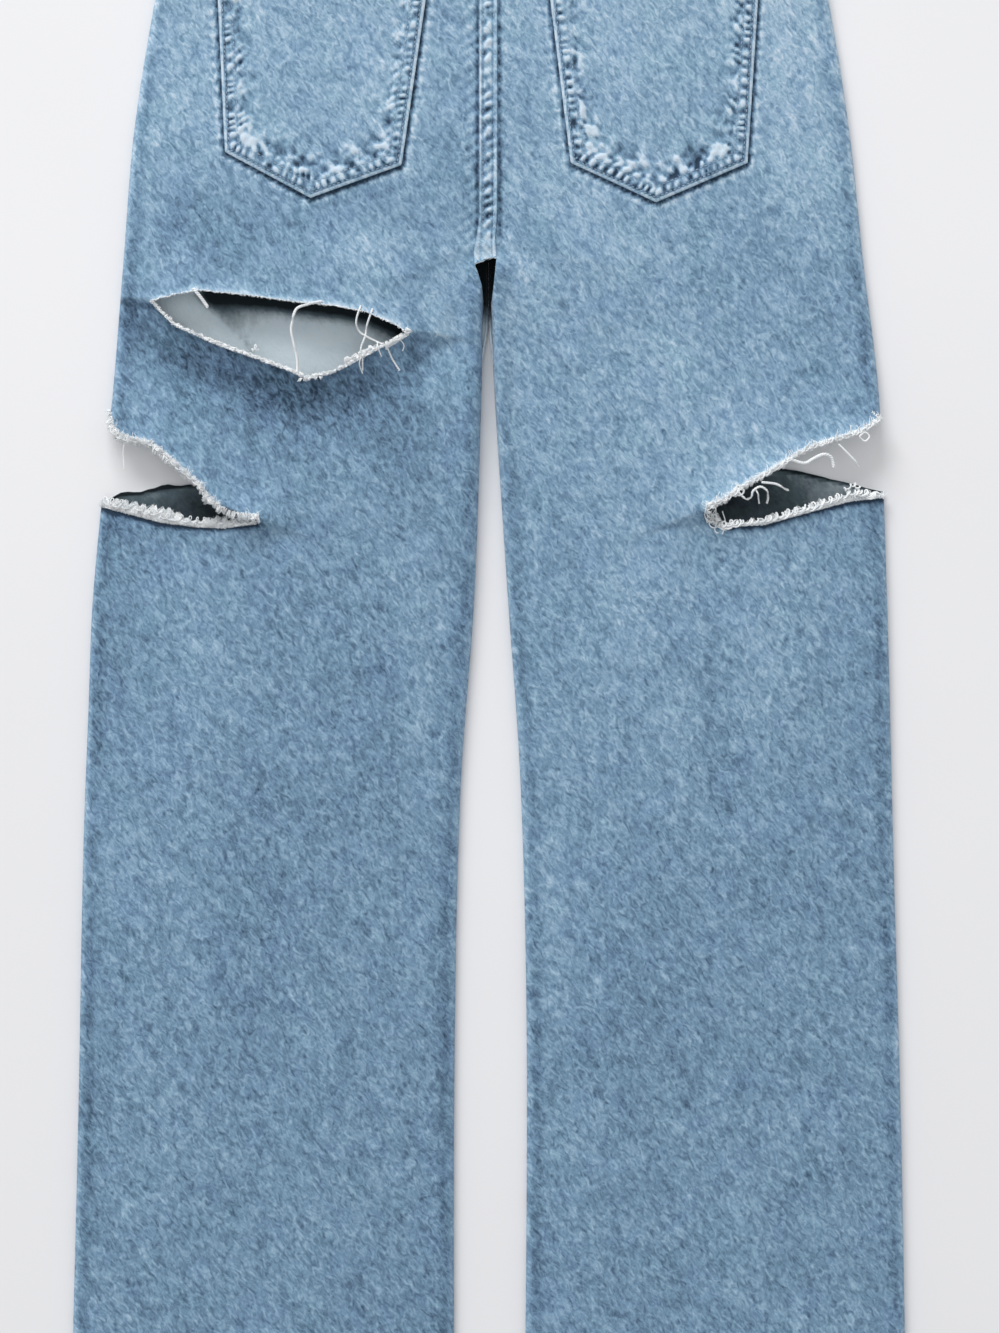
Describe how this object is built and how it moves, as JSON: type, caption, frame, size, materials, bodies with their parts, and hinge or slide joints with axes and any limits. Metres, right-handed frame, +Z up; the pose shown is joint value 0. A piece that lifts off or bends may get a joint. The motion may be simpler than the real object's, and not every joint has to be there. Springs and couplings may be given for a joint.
{
  "type": "ripped jeans",
  "caption": "Wide-leg washed denim jeans lying flat, back side up, with a rip across the left thigh and a rip through the side seam of each knee.",
  "frame": {"origin": "on the surface that the jeans lie on, under the centre of their bounding box", "axes": "+Y from the hems to the waist, +Z up out of the surface, through the back of the jeans, +X towards the wearer's right"},
  "size_m": [0.568, 1.1301, 0.0191],
  "materials": {
    "denim": "light blue stone-washed cotton denim, matt, with pale frayed edges",
    "thread": "off-white cotton yarn, matt",
    "tape": "woven cotton zip tape, matt",
    "metal": "worn antique nickel, satin"
  },
  "bodies": {
    "root": {"back_left": "denim", "yoke_left": "denim", "back_pocket_left": "denim", "back_right": "denim", "yoke_right": "denim", "back_pocket_right": "denim", "front_left": "denim", "pocket_facing_left": "denim", "front_right": "denim", "pocket_facing_right": "denim", "zip_slider": "metal", "zip_tape": "tape", "fly_shield": "denim", "waistband": "denim", "waist_button": "metal", "belt_loop_1": "denim", "belt_loop_2": "denim", "belt_loop_3": "denim", "belt_loop_4": "denim", "belt_loop_5": "denim"}
  },
  "joints": []
}
